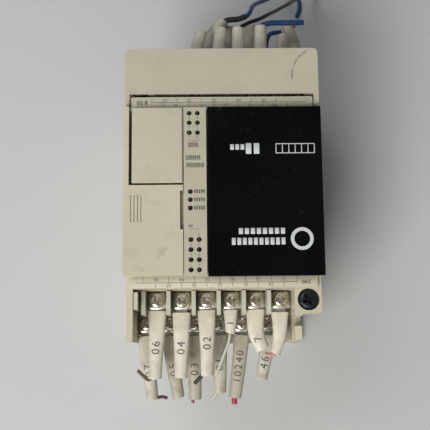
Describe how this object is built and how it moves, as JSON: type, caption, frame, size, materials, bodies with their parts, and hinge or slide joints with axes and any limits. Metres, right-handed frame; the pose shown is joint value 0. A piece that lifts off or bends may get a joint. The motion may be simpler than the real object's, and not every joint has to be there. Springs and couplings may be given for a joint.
{
  "type": "programmable controller module",
  "caption": "Compact programmable controller on its back: beige case, hinged terminal cover, screw terminals with cut leads in marker sleeves, glossy black front panel.",
  "frame": {"origin": "centre of the back face, which the module lies on", "axes": "+X to the right of the front face as it lies, +Y towards the output terminals, +Z out of the front face"},
  "size_m": [0.0774, 0.1667, 0.075],
  "materials": {
    "case_plastic": "fine satin moulded plastic, warm light beige",
    "strip_plastic": "fine satin moulded plastic, slightly greyer beige",
    "lid_plastic": "fine satin moulded plastic, beige",
    "cover_plastic": "satin moulded plastic, beige, lightly scuffed",
    "nameplate_gloss": "glossy black",
    "light_guide_clear": "translucent",
    "terminal_plastic": "satin grey-green plastic",
    "nickel_screw": "nickel plated, worn",
    "black_screw": "black oxide",
    "marker_sleeve": "soft off-white tube, printed",
    "black_wire": "black vinyl insulation",
    "blue_wire": "blue vinyl insulation",
    "circuit_board": "green solder mask",
    "black_plastic": "black moulded plastic",
    "transformer_core": "dark ferrite",
    "capacitor_sleeve": "dark vinyl sleeve",
    "dial_plastic": "white nylon"
  },
  "bodies": {
    "case": {"rear_case": "case_plastic", "front_case": "case_plastic", "indicator_strip": "strip_plastic", "nameplate_cover": "nameplate_gloss", "light_guide": "light_guide_clear", "input_block": "terminal_plastic", "output_block": "terminal_plastic", "input_screw_1": "nickel_screw", "input_screw_2": "nickel_screw", "input_screw_3": "nickel_screw", "input_screw_4": "nickel_screw", "input_screw_5": "nickel_screw", "input_screw_6": "nickel_screw", "input_screw_7": "nickel_screw", "input_screw_8": "nickel_screw", "input_screw_9": "nickel_screw", "input_screw_10": "nickel_screw", "input_screw_11": "nickel_screw", "input_screw_12": "nickel_screw", "case_screw_1": "black_screw", "case_screw_2": "black_screw", "input_lead_1": "marker_sleeve", "input_lead_2": "marker_sleeve", "input_lead_3": "marker_sleeve", "input_lead_4": "marker_sleeve", "input_lead_5": "marker_sleeve", "input_lead_6": "marker_sleeve", "input_lead_7": "marker_sleeve", "input_lead_8": "marker_sleeve", "input_lead_9": "marker_sleeve", "input_lead_10": "marker_sleeve", "input_lead_11": "marker_sleeve", "input_lead_12": "marker_sleeve", "output_lead_1": "marker_sleeve", "output_lead_2": "marker_sleeve", "output_lead_3": "marker_sleeve", "output_lead_4": "marker_sleeve", "output_lead_5": "marker_sleeve", "output_lead_6": "marker_sleeve", "output_lead_7": "marker_sleeve", "output_lead_8": "marker_sleeve", "output_lead_9": "marker_sleeve", "output_lead_10": "marker_sleeve", "black_wire": "black_wire", "blue_wire": "blue_wire", "power_board": "circuit_board", "main_board": "circuit_board", "processor_chip": "black_plastic", "port_socket": "black_plastic", "run_switch_body": "black_plastic", "power_transformer": "transformer_core", "bulk_capacitor": "capacitor_sleeve"},
    "output_cover": {"output_cover": "cover_plastic"},
    "port_lid": {"port_lid": "lid_plastic"},
    "expansion_cover": {"expansion_cover": "cover_plastic"},
    "run_switch_lever": {"run_switch_lever": "dial_plastic"},
    "gain_dial_1": {"gain_dial_1": "dial_plastic"},
    "gain_dial_2": {"gain_dial_2": "dial_plastic"},
    "rail_hook": {"rail_hook": "case_plastic"}
  },
  "joints": [
    {"name": "output_cover_hinge", "type": "hinge", "parent": "case", "child": "output_cover", "pos_m": [0, 0.0279, 0.0706], "axis": [1, 0, 0], "range_deg": [0, 90]},
    {"name": "port_lid_hinge", "type": "hinge", "parent": "case", "child": "port_lid", "pos_m": [-0.0126, 0.01367, 0.0744], "axis": [0, 1, 0], "range_deg": [0, 100]},
    {"name": "expansion_cover_pull", "type": "slide", "parent": "case", "child": "expansion_cover", "axis": [0, 0, 1], "range_m": [0, 0.012]},
    {"name": "run_switch_slide", "type": "slide", "parent": "case", "child": "run_switch_lever", "axis": [0, 1, 0], "range_m": [0, 0.003]},
    {"name": "gain_dial_1_turn", "type": "hinge", "parent": "case", "child": "gain_dial_1", "pos_m": [-0.0187, 0.0064, 0.0615], "axis": [0, 0, 1], "range_deg": [-135, 135]},
    {"name": "gain_dial_2_turn", "type": "hinge", "parent": "case", "child": "gain_dial_2", "pos_m": [-0.0149, 0.0064, 0.0615], "axis": [0, 0, 1], "range_deg": [-135, 135]},
    {"name": "rail_hook_slide", "type": "slide", "parent": "case", "child": "rail_hook", "axis": [0, 1, 0], "range_m": [0, 0.005], "stiffness_N_per_m": 300}
  ]
}
